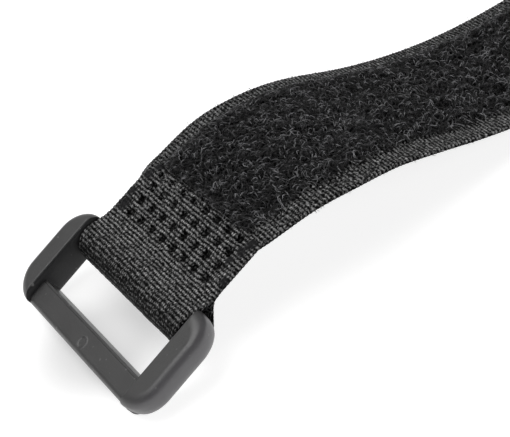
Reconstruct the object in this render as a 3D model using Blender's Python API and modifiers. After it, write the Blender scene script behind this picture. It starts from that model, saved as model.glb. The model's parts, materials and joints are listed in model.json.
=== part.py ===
"""Hook and loop cable tie: a woven loop tape folded round the back bar of a moulded ring buckle, its
turned-back end welded down, with a hook tab welded on the far end.

The frame is in metres with +Z up. The tape runs along X from the buckle at -X to the tab at +X, the
width lies along Y, and the origin is the middle of the tie's footprint on the surface it lies on.
"""

import math

import bmesh
import bpy
import numpy as np
from mathutils import Matrix, Vector

# Tape: a woven strip with a band of loop pile down the middle of one face.
TAPE_WIDTH = 0.025
TAPE_THICKNESS = 0.0007
TAIL_REACH = 0.186          # hinge axis to the cut end, along X
PILE_WIDTH = 0.0192
PILE_HEIGHT = 0.0013
PILE_LUMP = 0.00028         # how far the matted tufts rise and fall
PILE_ROOT = 0.0004          # how deep the pile band is rooted in the tape
PILE_STOP = 0.0012          # end of the pile to the hook tab
PILE_END_RISE = 0.0016      # length over which the band's ends rise to their full height
PILE_END_HEIGHT = 0.45      # share of the pile's height at its cut ends
PILE_EDGE_HEIGHT = 0.35     # share of the pile's height at its side edges
LUMP_WAVES = (              # matted tufts: waves over one pile width, along and across, and a phase
    (2.3, 0.9, 0.0),
    (-1.3, 3.1, 0.4),
    (1.1, 2.6, 1.0),
)
RIB_PITCH = 0.00051         # crosswise ribs of the weave, on the fold and the turned-back end
RIB_HEIGHT = 0.00009

# Lie of the tape: a stiff welded stretch, an arch and a long flat run.
WELD_SLOPE = math.radians(18.0)
WELD_START = 0.0038         # hinge axis to the start of the weld, along X
WELD_LIFT = 0.00195         # hinge axis up to the tape's middle at the start of the weld
WELD_LENGTH = 0.0079        # start of the weld to the cut edge of the turned-back end
CREST_REACH = 0.0212        # hinge axis to the top of the arch
CREST_HEIGHT = 0.0110       # middle of the tape at the top of the arch, above the table
LANDING_REACH = 0.0690      # hinge axis to where the tape lies flat
RISE_HANDLES = (0.55, 0.30)  # curve handles over the level length of the rise, at its two ends
FALL_HANDLES = (0.26, 0.57)  # the same for the fall to the table
LOOP_LEAVES_BAR = math.radians(-52.0)  # where the tape leaves the hinge bar below
LOOP_MEETS_BAR = math.radians(94.0)    # where it comes off the bar on top
LOOP_HANDLES = (0.42, 0.50, 0.40)  # weld side below, bar side below, and both ends on top

# Weld: a grid of square dimples pressed by the welding horn.
DIMPLE_COLUMNS = 4
DIMPLE_ROWS = 8
DIMPLE_PITCH_ALONG = 0.00193
DIMPLE_PITCH_ACROSS = 0.00264
DIMPLE_LENGTH = 0.00105
DIMPLE_WIDTH = 0.0014
DIMPLE_DEPTH = 0.00055
DIMPLE_DRAFT = 0.62         # size of a dimple's floor over the size of its mouth
FIRST_DIMPLE = 0.00115      # start of the weld to the first column's middle

# Buckle: a moulded ring of two bars between two thick, rounded arms.
SIDE_CLEARANCE = 0.0003     # tape edge to the arm beside it
ARM_WIDTH = 0.0031
ARM_HEIGHT = 0.0039
ARM_OVERHANG = 0.0023       # hinge axis to the arms' back ends
ARM_CORNER = 0.0030         # radius of the ring's outer corners, seen from above
ARM_TOP_ROUND = 0.0015      # rounding of the arms' outer top edge
ARM_INNER_ROUND = 0.0008    # rounding of the arms' inner top edge
RIM_ROUND = 0.0015          # rounding of the lower rim and of the front bar's front edge
FRONT_BAR_WIDTH = 0.0032
FRONT_BAR_HEIGHT = 0.0027
FRONT_BAR_CHAMFER = 0.0002
BAR_SEAT = 0.0003           # how far the bars run into the arms
WINDOW_LENGTH = 0.00775     # hinge axis to the front bar's inner face
HINGE_BAR_RADIUS = 0.0012
HINGE_CLEARANCE = 0.0007    # hinge bar to the tape's loop round it, where the pile lies inside
REST_TILT = math.radians(20.0)

# Hook tab: a moulded hook strip on the pile side of the tail.
TAB_LENGTH = 0.042
TAB_BASE = 0.0006
TAB_GAP = 0.0003            # tape to tab, beside the weld
HOOK_HEIGHT = 0.0009
HOOK_ROWS = 15
HOOK_MARGIN = 0.0016        # plain edge of the tab round the hook field
HOOK_RAMP = 0.3             # length of the hook field's sloped ends, over its margin

# Facets.
RUN_STEP = 0.0011           # length of one facet of the tape's run
PILE_STEP = 0.0016          # length of one facet of the pile
PILE_STRIPS = 14            # facets across the pile
CORNER_FACETS = 7
TOP_FACETS = 5
EDGE_FACETS = 3
BAR_FACETS = 28
OVERLAP = 0.0001            # how far one solid runs into the next where the two are joined
CUT_CLEARANCE = 0.0002      # how far a cutter stands proud of what it cuts

# Derived sizes.
RING_INSIDE = TAPE_WIDTH + 2.0 * SIDE_CLEARANCE
RING_FRONT = -(WINDOW_LENGTH + FRONT_BAR_WIDTH)
LOOP_RADIUS = HINGE_BAR_RADIUS + HINGE_CLEARANCE + TAPE_THICKNESS / 2.0
HINGE_HEIGHT = (
    (-RING_FRONT - RIM_ROUND) * math.sin(REST_TILT)
    + (HINGE_BAR_RADIUS - RIM_ROUND) * math.cos(REST_TILT)
    + RIM_ROUND
)

BLACK_PLASTIC = ((0.045, 0.046, 0.048, 1.0), 0.42)
BLACK_WEBBING = ((0.017, 0.017, 0.018, 1.0), 0.85)
BLACK_HOOK = ((0.022, 0.022, 0.024, 1.0), 0.55)


def clear_scene():
    for old in list(bpy.data.objects):
        bpy.data.objects.remove(old, do_unlink=True)


def make_collection(name):
    group = bpy.data.collections.new(name)
    bpy.context.scene.collection.children.link(group)
    return group


def make_material(name, look):
    colour, roughness = look
    material = bpy.data.materials.new(name)
    material.use_nodes = True
    shader = material.node_tree.nodes["Principled BSDF"]
    shader.inputs["Base Color"].default_value = colour
    shader.inputs["Roughness"].default_value = roughness
    shader.inputs["Metallic"].default_value = 0.0
    return material


def object_from_bmesh(name, bm, group):
    mesh = bpy.data.meshes.new(name)
    bmesh.ops.recalc_face_normals(bm, faces=bm.faces[:])
    bm.to_mesh(mesh)
    bm.free()
    made = bpy.data.objects.new(name, mesh)
    group.objects.link(made)
    return made


def as_cutter(obj):
    obj.hide_render = True
    obj.display_type = "WIRE"


def add_boolean(target, operand, operation):
    cut = target.modifiers.new(operand.name, "BOOLEAN")
    cut.operation = operation
    cut.solver = "EXACT"
    cut.object = operand


# Lie of the tape, as a curve in the XZ plane with the hinge axis at x = 0.


def bezier(p0, p1, p2, p3, count):
    """Points on a cubic Bezier curve, both ends included."""
    t = np.linspace(0.0, 1.0, count)[:, None]
    s = 1.0 - t
    return s**3 * p0 + 3 * s**2 * t * p1 + 3 * s * t**2 * p2 + t**3 * p3


def arc_lengths(points):
    return np.concatenate([[0.0], np.cumsum(np.linalg.norm(np.diff(points, axis=0), axis=1))])


def part_of(points, start, end, step):
    """The stretch of a curve between two distances along it, with points an even step apart."""
    at = arc_lengths(points)
    count = max(2, int(round((end - start) / step)) + 1)
    where = np.linspace(start, end, count)
    return np.stack([np.interp(where, at, points[:, k]) for k in (0, 1)], axis=1)


def resample(points, step):
    """The same curve with points an even step apart, both ends included."""
    return part_of(points, 0.0, arc_lengths(points)[-1], step)


def normals(points):
    """Unit normals of a curve, on the left of its direction of travel."""
    along = np.gradient(points, axis=0)
    along /= np.linalg.norm(along, axis=1)[:, None]
    return np.stack([-along[:, 1], along[:, 0]], axis=1)


def direction(angle):
    return np.array([math.cos(angle), math.sin(angle)])


def weld_start():
    return np.array([WELD_START, HINGE_HEIGHT + WELD_LIFT])


def run_curve():
    """Middle of the tape from the start of the weld, over the arch, to the cut end."""
    start = weld_start()
    crest = np.array([CREST_REACH, CREST_HEIGHT])
    landing = np.array([LANDING_REACH, TAPE_THICKNESS / 2.0])
    rise = crest[0] - start[0]
    fall = landing[0] - crest[0]
    up = bezier(
        start,
        start + RISE_HANDLES[0] * rise * direction(WELD_SLOPE),
        crest - np.array([RISE_HANDLES[1] * rise, 0.0]),
        crest,
        120,
    )
    down = bezier(
        crest,
        crest + np.array([FALL_HANDLES[0] * fall, 0.0]),
        landing - np.array([FALL_HANDLES[1] * fall, 0.0]),
        landing,
        240,
    )
    end = np.array([[TAIL_REACH, landing[1]]])
    return up, down, end


def loop_curve():
    """Middle of the tape from the start of the weld, under and round the hinge bar, back to the
    start of the weld on top of itself."""
    start = weld_start()
    ahead = direction(WELD_SLOPE)
    above = np.array([-ahead[1], ahead[0]])
    back_on_top = start + TAPE_THICKNESS * above
    centre = np.array([0.0, HINGE_HEIGHT])
    low = centre + LOOP_RADIUS * direction(LOOP_LEAVES_BAR)
    high = centre + LOOP_RADIUS * direction(LOOP_MEETS_BAR)
    low_heading = direction(LOOP_LEAVES_BAR - math.pi / 2.0)
    high_heading = direction(LOOP_MEETS_BAR - math.pi / 2.0)
    below = start[0] - low[0]
    under = bezier(
        start,
        start - LOOP_HANDLES[0] * below * ahead,
        low - LOOP_HANDLES[1] * below * low_heading,
        low,
        40,
    )
    turn = np.linspace(LOOP_LEAVES_BAR, LOOP_MEETS_BAR - 2.0 * math.pi, 90)
    round_bar = centre + LOOP_RADIUS * np.stack([np.cos(turn), np.sin(turn)], axis=1)
    above_bar = LOOP_HANDLES[2] * (back_on_top[0] - high[0])
    over = bezier(high, high + above_bar * high_heading, back_on_top - above_bar * ahead, back_on_top, 40)
    return np.concatenate([under, round_bar[1:], over[1:]])


def ribbed(points, normal, depth):
    """Points pushed out in even crosswise ribs: every second point stands proud."""
    lift = np.where(np.arange(len(points)) % 2 == 1, depth, 0.0)
    lift[[0, -1]] = 0.0
    return points + normal * lift[:, None]


def tape_outline():
    """Side view of the tape: its outer outline, and the outline of the hole the hinge bar fills."""
    half = TAPE_THICKNESS / 2.0
    up, down, end = run_curve()
    run = np.concatenate([up, down[1:]])
    loop = loop_curve()

    shaped = resample(run, RUN_STEP)
    lower_run = np.concatenate([shaped - half * normals(shaped), end - [[0.0, half]]])

    folded = resample(loop, RIB_PITCH / 2.0)
    outside = folded + half * normals(folded)
    smooth_loop = resample(loop, RIB_PITCH)
    inside = smooth_loop - half * normals(smooth_loop)
    folded_ribs = ribbed(outside, normals(folded), RIB_HEIGHT)

    welded = part_of(run, 0.0, WELD_LENGTH, RIB_PITCH / 2.0)
    top = welded + (half + TAPE_THICKNESS) * normals(welded)
    top_ribs = ribbed(top, normals(welded), RIB_HEIGHT)

    beyond = part_of(run, WELD_LENGTH, arc_lengths(run)[-1], RUN_STEP)
    upper_run = np.concatenate([beyond + half * normals(beyond), end + [[0.0, half]]])

    outer = np.concatenate([lower_run[::-1], folded_ribs[1:-1], top_ribs, upper_run])
    return outer, inside[:-1]


def prism(name, outlines, width, group):
    """A flat outline, with any holes, in the XZ plane, extruded along Y about its middle."""
    curve = bpy.data.curves.new(name, "CURVE")
    curve.dimensions = "2D"
    curve.fill_mode = "BOTH"
    curve.extrude = width / 2.0
    for points in outlines:
        spline = curve.splines.new("POLY")
        spline.points.add(len(points) - 1)
        spline.points.foreach_set("co", np.pad(points, ((0, 0), (0, 2))).ravel())
        spline.use_cyclic_u = True
    flat = bpy.data.objects.new(name + "_outline", curve)
    group.objects.link(flat)
    flat.rotation_euler = (math.pi / 2.0, 0.0, 0.0)
    bpy.context.view_layer.update()
    solid = bpy.data.meshes.new_from_object(flat.evaluated_get(bpy.context.evaluated_depsgraph_get()))
    solid.transform(flat.matrix_world)
    bpy.data.objects.remove(flat, do_unlink=True)
    bm = bmesh.new()
    bm.from_mesh(solid)
    bpy.data.meshes.remove(solid)
    bmesh.ops.remove_doubles(bm, verts=bm.verts[:], dist=1e-6)
    return object_from_bmesh(name, bm, group)


def padded_strip(name, path, normal, ys, top, bottom, group):
    """A strip laid along a path: top and bottom are heights above the path on a grid of stations
    by positions across, joined round the edge into one closed solid."""
    stations, across = len(path), len(ys)
    bm = bmesh.new()
    layers = []
    for height in (top, bottom):
        layer = []
        for i in range(stations):
            rise = path[i] + normal[i] * height[i][:, None]
            layer.append([bm.verts.new((rise[j][0], ys[j], rise[j][1])) for j in range(across)])
        layers.append(layer)
    for layer in layers:
        for i in range(stations - 1):
            for j in range(across - 1):
                bm.faces.new((layer[i][j], layer[i + 1][j], layer[i + 1][j + 1], layer[i][j + 1]))
    rim = [(i, 0) for i in range(stations)]
    rim += [(stations - 1, j) for j in range(1, across)]
    rim += [(i, across - 1) for i in range(stations - 2, -1, -1)]
    rim += [(0, j) for j in range(across - 2, 0, -1)]
    for (a, b), (c, d) in zip(rim, rim[1:] + rim[:1]):
        bm.faces.new((layers[0][a][b], layers[0][c][d], layers[1][c][d], layers[1][a][b]))
    return object_from_bmesh(name, bm, group)


def pile_band(group):
    """The raised band of matted loops, from the turned-back end to the hook tab."""
    up, down, end = run_curve()
    run = np.concatenate([up, down[1:], end])
    last = arc_lengths(run)[-1] - TAB_LENGTH - PILE_STOP
    path = part_of(run, WELD_LENGTH - OVERLAP, last, PILE_STEP)
    along = np.linspace(0.0, last - WELD_LENGTH, len(path))
    normal = normals(path)
    surface = path + normal * TAPE_THICKNESS / 2.0
    edge = PILE_WIDTH / 2.0
    ys = edge * np.sin(np.linspace(-math.pi / 2.0, math.pi / 2.0, PILE_STRIPS + 1))
    fall = np.sqrt(np.clip(1.0 - (np.abs(ys) / edge) ** 6, 0.0, 1.0))
    near, far = along[:, None], (last - WELD_LENGTH - along)[:, None]
    ends = np.clip(np.minimum(near, far) / PILE_END_RISE + PILE_END_HEIGHT, 0.0, 1.0)
    turn = 2.0 * math.pi / PILE_WIDTH
    waves = [np.sin(turn * (a * near + b * ys) + phase) for a, b, phase in LUMP_WAVES]
    lump = sum(waves) / len(waves)
    body = PILE_HEIGHT * (PILE_EDGE_HEIGHT + (1.0 - PILE_EDGE_HEIGHT) * fall)
    top = (body + PILE_LUMP * lump * fall) * ends
    bottom = np.full_like(top, -PILE_ROOT)
    band = padded_strip("pile_band", surface, normal, ys, top, bottom, group)
    as_cutter(band)
    return band


def dimple_grid(group):
    """The marks of the welding horn: square pits in rows across the turned-back end."""
    up, down, _ = run_curve()
    run = np.concatenate([up, down[1:]])
    at = arc_lengths(run)
    normal = normals(run)
    surface = run + normal * 1.5 * TAPE_THICKNESS
    above = RIB_HEIGHT + CUT_CLEARANCE
    bm = bmesh.new()
    for column in range(DIMPLE_COLUMNS):
        where = FIRST_DIMPLE + column * DIMPLE_PITCH_ALONG
        place = np.array([np.interp(where, at, surface[:, k]) for k in (0, 1)])
        out = np.array([np.interp(where, at, normal[:, k]) for k in (0, 1)])
        turn = Matrix.Rotation(math.atan2(out[0], out[1]), 4, "Y")
        for row in range(DIMPLE_ROWS):
            y = (row - (DIMPLE_ROWS - 1) / 2.0) * DIMPLE_PITCH_ACROSS
            pit = bmesh.ops.create_cube(bm, size=1.0)["verts"]
            for vert in pit:
                floor = vert.co.z < 0.0
                shrink = DIMPLE_DRAFT if floor else 1.0
                vert.co.x *= DIMPLE_LENGTH * shrink
                vert.co.y *= DIMPLE_WIDTH * shrink
                vert.co.z = -DIMPLE_DEPTH if floor else above
            bmesh.ops.transform(bm, matrix=Matrix.Translation((place[0], y, place[1])) @ turn, verts=pit)
    pits = object_from_bmesh("weld_dimples", bm, group)
    as_cutter(pits)
    return pits


def build_strap(group, cutters):
    outer, hole = tape_outline()
    strap = prism("strap", [outer, hole], TAPE_WIDTH, group)
    add_boolean(strap, pile_band(cutters), "UNION")
    add_boolean(strap, dimple_grid(cutters), "DIFFERENCE")
    strap.data.materials.append(make_material("woven_loop_tape", BLACK_WEBBING))
    return strap


def build_hook_tab(group):
    """The hook strip: a plain-edged base with rows of hooks moulded along it."""
    start, end = TAIL_REACH - TAB_LENGTH, TAIL_REACH
    slope = (1.0 + HOOK_RAMP) * HOOK_MARGIN
    xs = np.array([start, start + HOOK_MARGIN, start + slope, end - slope, end - HOOK_MARGIN, end])
    field = np.array([0.0, 0.0, 1.0, 1.0, 0.0, 0.0])[:, None]
    half_field = TAPE_WIDTH / 2.0 - HOOK_MARGIN
    rows = np.linspace(-half_field, half_field, 2 * HOOK_ROWS + 1)
    ys = np.concatenate([[-TAPE_WIDTH / 2.0], rows, [TAPE_WIDTH / 2.0]])
    proud = np.concatenate([[0.0], np.arange(2 * HOOK_ROWS + 1) % 2, [0.0]])[None, :]
    level = TAPE_THICKNESS + TAB_GAP
    path = np.stack([xs, np.full_like(xs, level)], axis=1)
    up = np.tile([0.0, 1.0], (len(xs), 1))
    top = TAB_BASE + HOOK_HEIGHT * field * proud
    bottom = np.zeros_like(top)
    tab = padded_strip("hook_tab", path, up, ys, top, bottom, group)
    tab.data.materials.append(make_material("hook_strip", BLACK_HOOK))
    return tab


def beveled_block(low, high, rounds):
    """A block between two corners. Each of rounds is a test on an edge's two ends, a radius and a
    number of facets; the edges that pass are rounded, one group after another."""
    bm = bmesh.new()
    bmesh.ops.create_cube(bm, size=1.0)
    low, high = Vector(low), Vector(high)
    for vert in bm.verts:
        vert.co = Vector(low[k] + (vert.co[k] + 0.5) * (high[k] - low[k]) for k in range(3))
    for test, radius, facets in rounds:
        edges = [edge for edge in bm.edges if test(edge.verts[0].co, edge.verts[1].co)]
        bmesh.ops.bevel(
            bm, geom=edges, offset=radius, offset_type="OFFSET", segments=facets,
            profile=0.5, affect="EDGES", clamp_overlap=True,
        )
    return bm


def build_buckle(group, cutters):
    """The ring, made about its hinge axis: X along the ring, Z square to it."""
    floor = -HINGE_BAR_RADIUS
    inner = RING_INSIDE / 2.0
    outer = inner + ARM_WIDTH
    tiny = 1e-6

    def both(a, b, test):
        return test(a) and test(b)

    arm = beveled_block(
        (RING_FRONT, inner, floor),
        (ARM_OVERHANG, outer, floor + ARM_HEIGHT),
        [
            (lambda a, b: both(a, b, lambda p: p.y > outer - tiny) and abs(a.z - b.z) > tiny,
             ARM_CORNER, CORNER_FACETS),
            (lambda a, b: both(a, b, lambda p: p.z > floor + ARM_HEIGHT - tiny and p.y > inner + tiny)
             or (both(a, b, lambda p: p.z > floor + ARM_HEIGHT - tiny) and abs(a.y - b.y) > tiny),
             ARM_TOP_ROUND, TOP_FACETS),
            (lambda a, b: both(a, b, lambda p: p.z < floor + tiny and p.y > inner + tiny)
             or (both(a, b, lambda p: p.z < floor + tiny) and abs(a.y - b.y) > tiny),
             RIM_ROUND, EDGE_FACETS),
            (lambda a, b: both(a, b, lambda p: p.y < inner + tiny and p.z > floor + ARM_HEIGHT - tiny),
             ARM_INNER_ROUND, EDGE_FACETS),
        ],
    )
    arm_solid = object_from_bmesh("arms", arm, cutters)
    mirror = arm_solid.modifiers.new("other_arm", "MIRROR")
    mirror.use_axis = (False, True, False)
    mirror.merge_threshold = 0.0001
    as_cutter(arm_solid)

    seat = inner + BAR_SEAT
    bar_top = floor + FRONT_BAR_HEIGHT
    inside = -WINDOW_LENGTH
    front = beveled_block(
        (RING_FRONT, -seat, floor),
        (inside, seat, bar_top),
        [
            (lambda a, b: both(a, b, lambda p: p.x < RING_FRONT + tiny) and abs(a.y - b.y) > tiny,
             RIM_ROUND, EDGE_FACETS),
            (lambda a, b: both(a, b, lambda p: p.x > inside - tiny) and abs(a.y - b.y) > tiny,
             FRONT_BAR_CHAMFER, 1),
        ],
    )
    buckle = object_from_bmesh("buckle", front, group)

    bpy.ops.mesh.primitive_cylinder_add(
        vertices=BAR_FACETS, radius=HINGE_BAR_RADIUS, depth=2.0 * seat, rotation=(math.pi / 2.0, 0.0, 0.0)
    )
    bar = bpy.context.object
    bar.name = "hinge_bar"
    for home in list(bar.users_collection):
        home.objects.unlink(bar)
    cutters.objects.link(bar)
    bar.data.transform(bar.matrix_basis)
    bar.matrix_basis = Matrix.Identity(4)
    as_cutter(bar)

    for piece in (arm_solid, bar):
        piece.parent = buckle
        add_boolean(buckle, piece, "UNION")
    buckle.location = (0.0, 0.0, HINGE_HEIGHT)
    buckle.rotation_euler = (0.0, -REST_TILT, 0.0)
    buckle.data.materials.append(make_material("black_nylon", BLACK_PLASTIC))
    return buckle


def shade(obj, angle):
    obj.data.shade_smooth()
    obj.data.set_sharp_from_angle(angle=angle)


def stand_on_origin(pieces, empty):
    """Slide the whole tie along X so that the middle of its length is at the origin."""
    bpy.context.view_layer.update()
    graph = bpy.context.evaluated_depsgraph_get()
    reach = []
    for piece in pieces:
        seen = piece.evaluated_get(graph)
        mesh = seen.to_mesh()
        corners = np.empty(3 * len(mesh.vertices), dtype=np.float32)
        mesh.vertices.foreach_get("co", corners)
        placed = corners.reshape(-1, 3) @ np.array(piece.matrix_world.to_3x3()).T
        reach.append(placed[:, 0] + piece.matrix_world.translation.x)
        seen.to_mesh_clear()
    every = np.concatenate(reach)
    empty.location.x = -(every.min() + every.max()) / 2.0
    print("hinge axis at", round(float(empty.location.x), 6), round(HINGE_HEIGHT, 6))


def main():
    clear_scene()
    group = make_collection("hook_and_loop_cable_tie")
    cutters = make_collection("cutters")
    pieces = [build_strap(group, cutters), build_hook_tab(group), build_buckle(group, cutters)]
    origin = bpy.data.objects.new("tie_origin", None)
    group.objects.link(origin)
    for name in ("pile_band", "weld_dimples"):
        bpy.data.objects[name].parent = bpy.data.objects["strap"]
    for piece in pieces:
        piece.parent = origin
        shade(piece, math.radians(35.0))
    stand_on_origin(pieces, origin)


main()
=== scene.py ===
import json
import math

import bmesh
import bpy
import numpy as np
from mathutils import Matrix, Vector


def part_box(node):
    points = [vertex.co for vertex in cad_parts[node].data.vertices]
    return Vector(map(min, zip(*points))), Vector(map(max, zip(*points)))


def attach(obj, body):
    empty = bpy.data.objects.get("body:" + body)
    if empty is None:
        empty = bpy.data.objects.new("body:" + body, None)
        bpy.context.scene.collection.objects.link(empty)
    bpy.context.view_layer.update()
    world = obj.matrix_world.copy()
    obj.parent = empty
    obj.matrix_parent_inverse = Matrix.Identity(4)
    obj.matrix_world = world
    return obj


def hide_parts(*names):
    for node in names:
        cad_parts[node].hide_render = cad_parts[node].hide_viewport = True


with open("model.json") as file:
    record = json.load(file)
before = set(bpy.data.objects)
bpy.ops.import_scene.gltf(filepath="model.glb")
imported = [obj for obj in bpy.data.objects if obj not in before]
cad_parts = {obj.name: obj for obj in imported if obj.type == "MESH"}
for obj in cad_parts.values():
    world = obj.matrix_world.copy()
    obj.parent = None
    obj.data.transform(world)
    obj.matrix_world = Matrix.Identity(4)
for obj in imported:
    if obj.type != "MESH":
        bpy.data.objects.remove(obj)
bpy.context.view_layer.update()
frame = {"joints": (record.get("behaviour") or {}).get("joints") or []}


# The moulded ring buckle: one shot of black nylon with a satin, slightly grained skin. Two thick
# arms with rounded ends are joined by a flat front bar and by the round bar that the tape turns on.

RING_AXIS = np.array(frame["joints"][0]["pos_m"])
RING_TILT = math.radians(20.0)
RING_PLAY = 0.00015             # the ring has slid a little across
RING_FRONT = -0.01105           # front face of the ring, from the axis of its round bar
RING_BACK = 0.0023              # back face of its arms, from the same axis
ARM_INSIDE = 0.0125             # middle of the ring to the inner wall of an arm
ARM_WIDTH = 0.0039
ARM_HEIGHT = 0.0040
ARM_OUTER_ROUND = 0.0011
ARM_INNER_ROUND = 0.0005
ARM_RIM_ROUND = 0.0027
ARM_END_SLOPE = 1.5             # how much further the top's edge runs in at an arm's ends
ARM_END_RIM = 0.4               # how much less the lower rim does
ARM_INNER_RIM = 0.0004
ARM_CLOSING = (0.04, 0.5, 1.0)  # steps in which an arm's flat faces close on their middle line
ROUND_BAR_RADIUS = 0.0012
FRONT_BAR_WIDTH = 0.0034
FRONT_BAR_HEIGHT = 0.0030
BAR_STEP = (0.00030, 0.00013)   # the fine step along the window: how wide, how deep
BAR_STEP_ROUND = (0.00006, 0.00008)     # its lower and its upper edge
BAR_RIM_ROUND = 0.0014
BAR_BACK_ROUND = 0.00025
BAR_TOP_ROUND = 0.0007
BAR_SEAT = 0.0006               # how far the bars run into the arms
EJECTOR_MARK = (-0.0096, -0.0005, 0.00072)      # along the ring, across it, radius
MARK_SINK = 0.00004             # how far the mark's floor lies below the bar's top
MARK_EDGE = 0.00006
MARK_RIM = (0.00010, 0.00006)   # the raised rim round it: how wide, how high
RING_CREASE = math.radians(34.0)
INNER_WALL_TURN = 0.8           # how squarely a face looks inwards to count as an inner wall
NYLON_COLOUR = (0.020, 0.020, 0.0205, 1.0)
# Painted light by how far a wall faces out: outer walls painted paler as a painted reflection, inner
# walls darker as painted shade.
NYLON_PAINTED_LIGHT = [                  # by how far a wall faces out of the ring
    (0.1, (0.012, 0.012, 0.0125, 1.0)), (0.5, (0.019, 0.0185, 0.0185, 1.0)),
    (0.85, (0.060, 0.058, 0.062, 1.0)),
]
NYLON_ROUGHNESS = [(0.3, 0.34), (0.7, 0.46)]
NYLON_DUST = [(0.80, 0.0), (0.84, 0.7)]
DUST_COLOUR = (0.11, 0.11, 0.11, 1.0)
# The inner walls get less gloss than the rest: painted shade on them.
NYLON_GLOSS, INNER_WALL_SHADED_GLOSS = 0.66, 0.25


def grid_faces(rows, columns):
    """Quads between neighbouring points of a grid stored row by row, where every row is a closed
    ring of points."""
    down, over = np.arange(rows - 1)[:, None], np.arange(columns)[None, :]
    below, beside = down + 1, (over + 1) % columns
    corners = (
        down * columns + over, down * columns + beside,
        below * columns + beside, below * columns + over,
    )
    return np.stack(corners, axis=-1).reshape(-1, 4)


def mesh_object(name, points, faces, smooth=True):
    """A mesh object from an array of points and an array of faces that all have as many corners."""
    mesh = bpy.data.meshes.new(name)
    count, corners = faces.shape
    mesh.vertices.add(len(points))
    mesh.vertices.foreach_set("co", np.ascontiguousarray(points, dtype=np.float32).ravel())
    mesh.loops.add(count * corners)
    mesh.loops.foreach_set("vertex_index", np.ascontiguousarray(faces, dtype=np.int32).ravel())
    mesh.polygons.add(count)
    starts = np.arange(0, count * corners, corners, dtype=np.int32)
    mesh.polygons.foreach_set("loop_start", starts)
    mesh.update(calc_edges=True)
    mesh.polygons.foreach_set("use_smooth", np.full(count, smooth))
    made = bpy.data.objects.new(name, mesh)
    bpy.context.scene.collection.objects.link(made)
    return made


def grid_object(name, points):
    """A mesh object from rows of points, each row a closed ring."""
    return mesh_object(name, points.reshape(-1, 3), grid_faces(*points.shape[:2]))


def point_values(obj, label, values):
    """Stores one value a point on the mesh, for a material to read."""
    attribute = obj.data.attributes.new(label, "FLOAT", "POINT")
    attribute.data.foreach_set("value", values.ravel().astype(np.float32))


def close_up(obj, distance=1e-7):
    """Merges the doubled points where a grid closes on itself, and turns every face outwards."""
    bm = bmesh.new()
    bm.from_mesh(obj.data)
    bmesh.ops.remove_doubles(bm, verts=bm.verts[:], dist=distance)
    bmesh.ops.dissolve_degenerate(bm, edges=bm.edges[:], dist=distance)
    bmesh.ops.recalc_face_normals(bm, faces=bm.faces[:])
    bm.to_mesh(obj.data)
    bm.free()


def ring_to_frame(local):
    """Ring coordinates (along, across, up, about the round bar's axis) to the frame: the ring leans
    by its tilt about the bar and sits at the bar's height."""
    along, across, up = local[..., 0], local[..., 1], local[..., 2]
    lean, rise = math.sin(RING_TILT), math.cos(RING_TILT)
    placed = np.stack([along * rise - up * lean, across + RING_PLAY, along * lean + up * rise], axis=-1)
    return placed + RING_AXIS


def arm_outline(side_inset, end_inset, inner_inset, arc_steps=22, straight_steps=10):
    """Plan view of an arm at one height: a straight inner wall, a straight outer wall, and a quarter
    of an ellipse at each end. The insets move the walls and the ends towards the middle."""
    deep, wide = ARM_WIDTH - end_inset, ARM_WIDTH - side_inset
    turn = np.linspace(math.asin(min(1.0, inner_inset / wide)), math.pi / 2.0, arc_steps)
    arc_along, arc_across = deep * np.cos(turn), wide * np.sin(turn)
    front, back = RING_FRONT + ARM_WIDTH, RING_BACK - ARM_WIDTH
    outer = np.linspace(front, back, straight_steps + 1)[1:-1]
    inner = np.linspace(back + arc_along[0], front - arc_along[0], 3 * straight_steps + 1)[1:-1]
    along = np.concatenate([front - arc_along, outer, back + arc_along[::-1], inner])
    across = np.concatenate([
        arc_across, np.full(len(outer), wide), arc_across[::-1], np.full(len(inner), inner_inset),
    ])
    return along, ARM_INSIDE + across


def arm_mesh(name, side):
    """An arm as a stack of outlines: the outlines shrink along a quarter circle into the flat top and
    into the lower rim, and close on a line in the middle of the top and of the underside."""
    quarter = np.linspace(0.0, math.pi / 2.0, 12)
    top_middle = (ARM_WIDTH + ARM_OUTER_ROUND - ARM_INNER_ROUND) / 2.0
    rim_middle = (ARM_WIDTH + ARM_RIM_ROUND - ARM_INNER_RIM) / 2.0
    levels = []
    for share in ARM_CLOSING[::-1]:
        step = share * (rim_middle - ARM_RIM_ROUND)
        outer, end = ARM_RIM_ROUND + step, ARM_RIM_ROUND * ARM_END_RIM + step
        levels.append((outer, end, ARM_INNER_RIM + step, 0.0))
    for angle in quarter[::-1]:
        shrink = 1.0 - math.cos(angle)
        outer = ARM_RIM_ROUND * shrink
        height = ARM_RIM_ROUND * (1.0 - math.sin(angle))
        levels.append((outer, ARM_END_RIM * outer, ARM_INNER_RIM * shrink, height))
    for angle in quarter:
        outer = ARM_OUTER_ROUND * (1.0 - math.cos(angle))
        inner = ARM_INNER_ROUND * (1.0 - math.cos(angle))
        height = ARM_HEIGHT - ARM_OUTER_ROUND * (1.0 - math.sin(angle))
        levels.append((outer, ARM_END_SLOPE * outer, inner, height))
    for share in ARM_CLOSING:
        step = share * (top_middle - ARM_OUTER_ROUND)
        outer, end = ARM_OUTER_ROUND + step, ARM_END_SLOPE * ARM_OUTER_ROUND + step
        levels.append((outer, end, ARM_INNER_ROUND + step, ARM_HEIGHT))
    stack = []
    for outer, end, inner, height in levels:
        along, across = arm_outline(outer, end, inner)
        up = np.full_like(along, height - ROUND_BAR_RADIUS)
        stack.append(np.stack([along, side * across, up], axis=-1))
    made = grid_object(name, ring_to_frame(np.array(stack)))
    close_up(made, 2e-6)
    return made


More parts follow.
